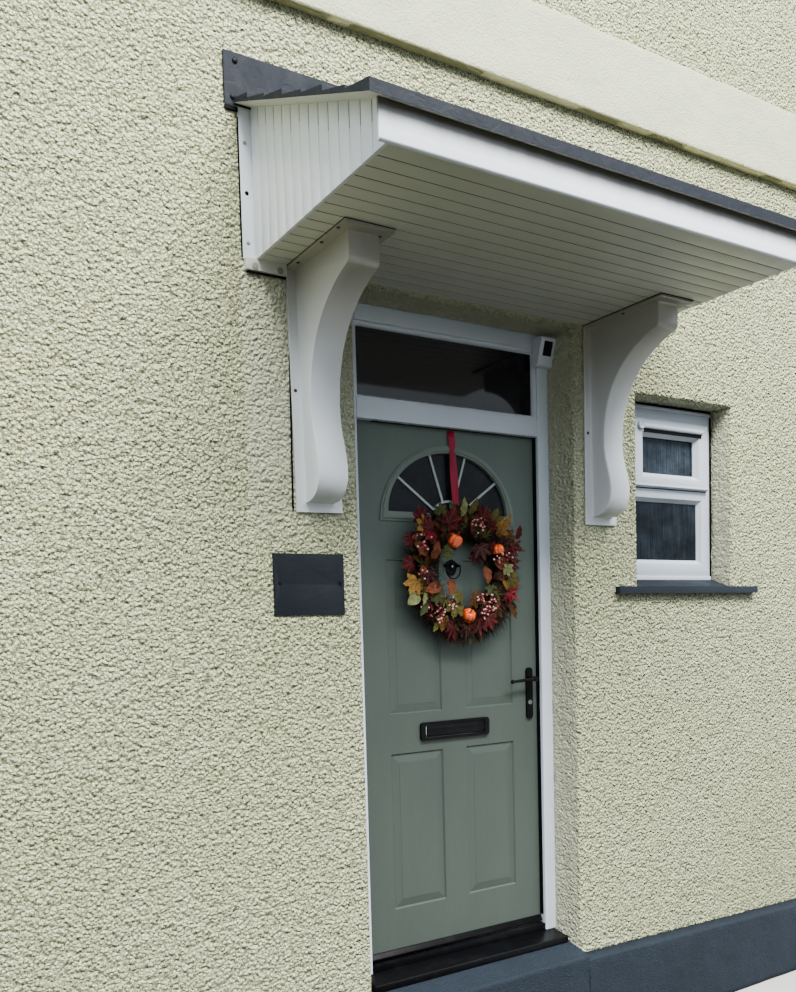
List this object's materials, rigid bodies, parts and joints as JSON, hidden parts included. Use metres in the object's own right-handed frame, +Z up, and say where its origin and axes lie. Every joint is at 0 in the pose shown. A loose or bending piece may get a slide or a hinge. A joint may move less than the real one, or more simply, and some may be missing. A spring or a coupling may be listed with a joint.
{
  "type": "entrance porch",
  "caption": "Bracketed flat-fronted canopy over a panelled entrance door with fanlight, in its roughcast wall section with plinth, step and a small side window.",
  "frame": {"origin": "on the ground under the middle of the doorway, in the plane of the wall's outer face", "axes": "+X to the right seen from outside, +Y into the house, +Z up"},
  "size_m": [3.58, 1.091, 4.36],
  "materials": {
    "masonry": "roughcast, painted cream",
    "painted_render": "painted blue-grey, eggshell",
    "dark_glass": "clear",
    "door_skin": "satin, faint grain",
    "black_trim": "satin",
    "black_metal": "semi-gloss black",
    "lock_metal": "satin",
    "lead_bars": "satin",
    "hinge_metal": "satin",
    "slate_moulding": "satin slate grey",
    "slate": "honed",
    "white_plastic": "semi-gloss white",
    "wreath": "artificial leaves",
    "ribbon": "satin"
  },
  "bodies": {
    "house": {"wall_left": "masonry", "wall_right": "masonry", "wall_over_door": "masonry", "string_course": "masonry", "plinth_left": "painted_render", "plinth_right": "painted_render", "door_step": "painted_render", "frame_jamb_left": "white_plastic", "frame_jamb_right": "white_plastic", "frame_head": "white_plastic", "frame_transom": "white_plastic", "threshold": "black_trim", "door_cill": "black_trim", "fanlight_glass": "dark_glass", "fanlight_bead": "white_plastic", "hinge_frame_side": "hinge_metal", "canopy_roof": "slate_moulding", "canopy_fascia": "white_plastic", "canopy_soffit": "white_plastic", "canopy_end_left": "white_plastic", "canopy_end_right": "white_plastic", "bracket_left": "white_plastic", "bracket_right": "white_plastic", "window_frame": "white_plastic", "window_vent": "white_plastic", "window_glass": "dark_glass", "window_joint": "black_trim", "window_sill": "slate", "slate_plate": "slate", "door_camera": "white_plastic"},
    "door": {"door_leaf": "door_skin", "arch_surround": "door_skin", "arch_glass": "dark_glass", "sunburst_bars": "lead_bars", "weather_bar": "black_trim", "letter_plate": "black_metal", "handle_plates": "black_metal", "lock_cylinder": "lock_metal", "knocker_plate": "black_metal", "hinge_leaf_side": "hinge_metal", "wreath_body": "wreath", "wreath_ribbon": "ribbon"},
    "lever": {"door_lever": "black_metal"},
    "flap": {"letter_flap": "black_metal"},
    "loop": {"knocker_loop": "black_metal"}
  },
  "joints": [
    {"name": "door_swing", "type": "hinge", "parent": "house", "child": "door", "pos_m": [-0.424, 0.219, 1.4], "axis": [0, 0, 1], "range_deg": [0, 90]},
    {"name": "lever_turn", "type": "hinge", "parent": "door", "child": "lever", "pos_m": [0.359, 0.16, 1.414], "axis": [0, -1, 0], "range_deg": [-35, 40], "stiffness_Nm_per_rad": 1.2},
    {"name": "flap_swing", "type": "hinge", "parent": "door", "child": "flap", "pos_m": [0, 0.1565, 1.267], "axis": [-1, 0, 0], "range_deg": [0, 80], "stiffness_Nm_per_rad": 0.06, "springref_deg": -17.19},
    {"name": "knocker_swing", "type": "hinge", "parent": "door", "child": "loop", "pos_m": [0, 0.148, 1.849], "axis": [-1, 0, 0], "range_deg": [0, 60]}
  ]
}
